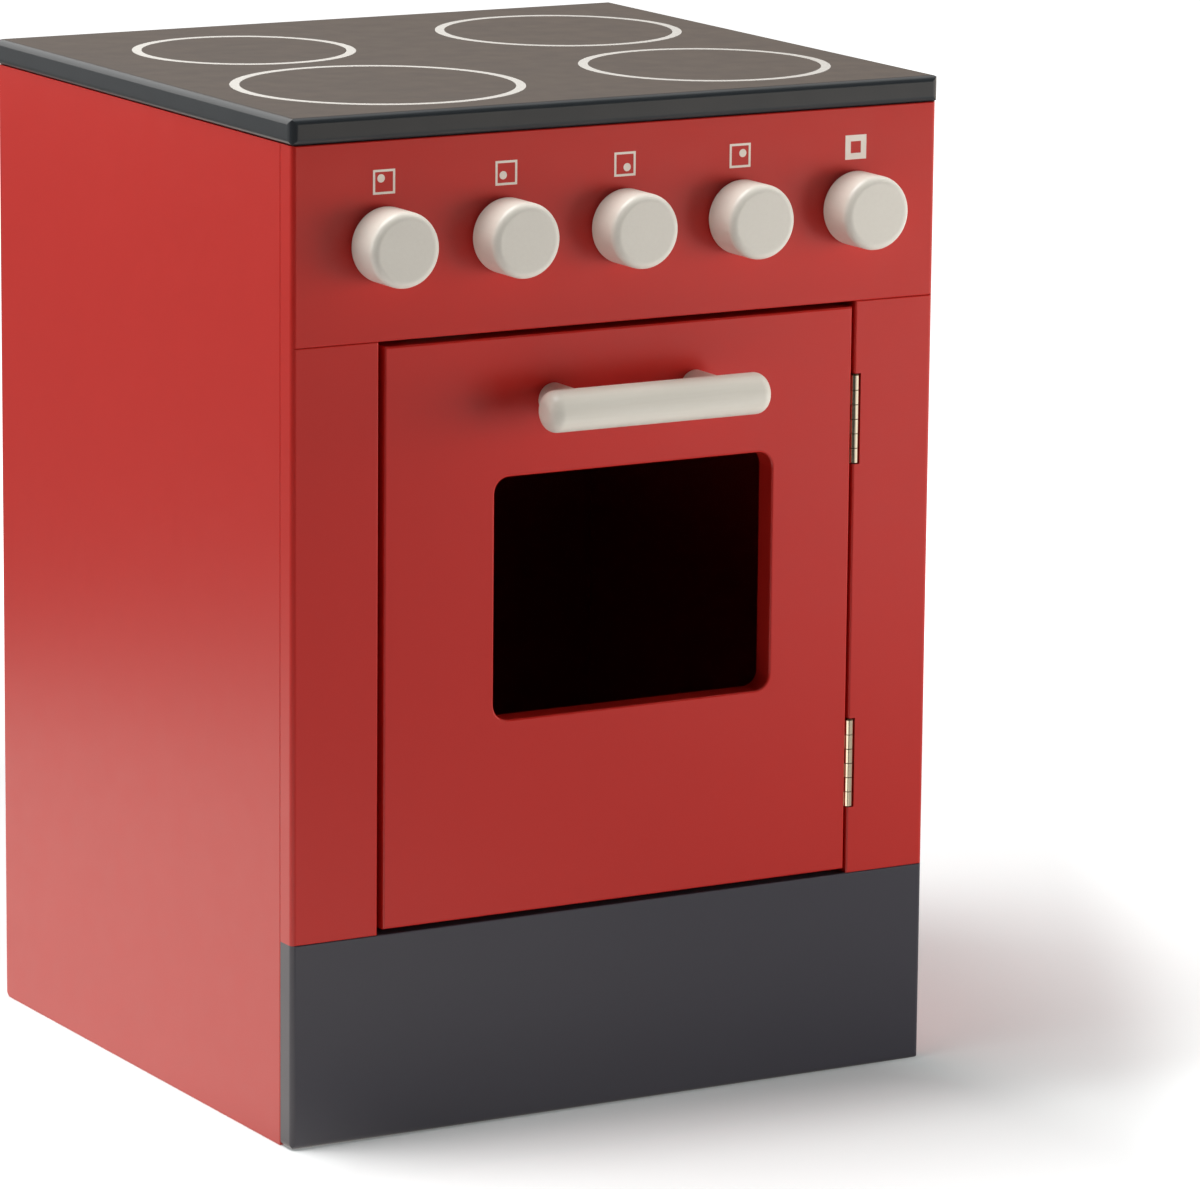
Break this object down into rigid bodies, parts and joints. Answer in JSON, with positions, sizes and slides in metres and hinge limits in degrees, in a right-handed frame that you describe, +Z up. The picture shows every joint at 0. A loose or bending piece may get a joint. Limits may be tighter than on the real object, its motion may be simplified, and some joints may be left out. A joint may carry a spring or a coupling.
{
  "type": "toy oven",
  "caption": "Wooden toy stove with printed hob rings, clicking control knobs and a side-hinged oven door with an open window and a round bar handle.",
  "frame": {"origin": "on the floor, in the middle of the plan outline, which runs from the handle bar's front to the worktop's back edge", "axes": "+Z up; the front with the door and the knobs faces -Y; +X is to the right of someone who faces the front, the side that the door is hinged on"},
  "size_m": [0.3578, 0.365, 0.5],
  "materials": {
    "red_paint": "satin red lacquer on 12 mm board",
    "graphite_paint": "satin graphite lacquer on 12 mm board",
    "hob_paint": "satin black-brown lacquer on the worktop",
    "ring_print": "white screen print",
    "cream_paint": "satin cream lacquer on turned wood",
    "beech": "plain beech",
    "hinge_steel": "brass-washed steel",
    "zinc_steel": "zinc-plated steel",
    "nylon": "moulded nylon",
    "ferrite": "ferrite magnet"
  },
  "bodies": {
    "cabinet": {"worktop": "hob_paint", "burner_rings": "ring_print", "left_side_panel": "red_paint", "right_side_panel": "red_paint", "back_panel": "red_paint", "control_fascia": "red_paint", "left_stile": "red_paint", "right_stile": "red_paint", "plinth": "graphite_paint", "oven_floor": "red_paint", "oven_ceiling": "red_paint", "worktop_battens": "beech", "batten_screws": "zinc_steel", "shelf_dowels": "beech", "front_dowels": "beech", "back_panel_screws": "zinc_steel", "catch_housing": "nylon", "catch_magnet": "ferrite", "catch_screws": "zinc_steel", "upper_hinge_frame_leaf": "hinge_steel", "upper_hinge_pin": "hinge_steel", "lower_hinge_frame_leaf": "hinge_steel", "lower_hinge_pin": "hinge_steel", "frame_leaf_screws": "hinge_steel", "click_springs": "zinc_steel", "click_spring_screws": "zinc_steel"},
    "door": {"door_panel": "red_paint", "handle_bar": "cream_paint", "handle_posts": "cream_paint", "handle_screws": "zinc_steel", "strike_plate": "zinc_steel", "strike_screws": "zinc_steel", "upper_hinge_door_leaf": "hinge_steel", "lower_hinge_door_leaf": "hinge_steel", "door_leaf_screws": "hinge_steel"},
    "back_left_control": {"back_left_knob": "cream_paint", "back_left_spindle": "beech", "back_left_click_wheel": "nylon", "back_left_screw": "zinc_steel"},
    "front_left_control": {"front_left_knob": "cream_paint", "front_left_spindle": "beech", "front_left_click_wheel": "nylon", "front_left_screw": "zinc_steel"},
    "front_right_control": {"front_right_knob": "cream_paint", "front_right_spindle": "beech", "front_right_click_wheel": "nylon", "front_right_screw": "zinc_steel"},
    "back_right_control": {"back_right_knob": "cream_paint", "back_right_spindle": "beech", "back_right_click_wheel": "nylon", "back_right_screw": "zinc_steel"},
    "oven_control": {"oven_knob": "cream_paint", "oven_spindle": "beech", "oven_click_wheel": "nylon", "oven_screw": "zinc_steel"}
  },
  "joints": [
    {"name": "door_hinge", "type": "hinge", "parent": "cabinet", "child": "door", "pos_m": [0.1339, -0.14135, 0.246], "axis": [0, 0, 1], "range_deg": [0, 115]},
    {"name": "back_left_turn", "type": "hinge", "parent": "cabinet", "child": "back_left_control", "pos_m": [-0.1289, -0.14235, 0.4375], "axis": [0, 1, 0], "continuous": true},
    {"name": "front_left_turn", "type": "hinge", "parent": "cabinet", "child": "front_left_control", "pos_m": [-0.0639, -0.14235, 0.4375], "axis": [0, 1, 0], "continuous": true},
    {"name": "front_right_turn", "type": "hinge", "parent": "cabinet", "child": "front_right_control", "pos_m": [0.0011, -0.14235, 0.4375], "axis": [0, 1, 0], "continuous": true},
    {"name": "back_right_turn", "type": "hinge", "parent": "cabinet", "child": "back_right_control", "pos_m": [0.0661, -0.14235, 0.4375], "axis": [0, 1, 0], "continuous": true},
    {"name": "oven_turn", "type": "hinge", "parent": "cabinet", "child": "oven_control", "pos_m": [0.1311, -0.14235, 0.4375], "axis": [0, 1, 0], "continuous": true}
  ]
}
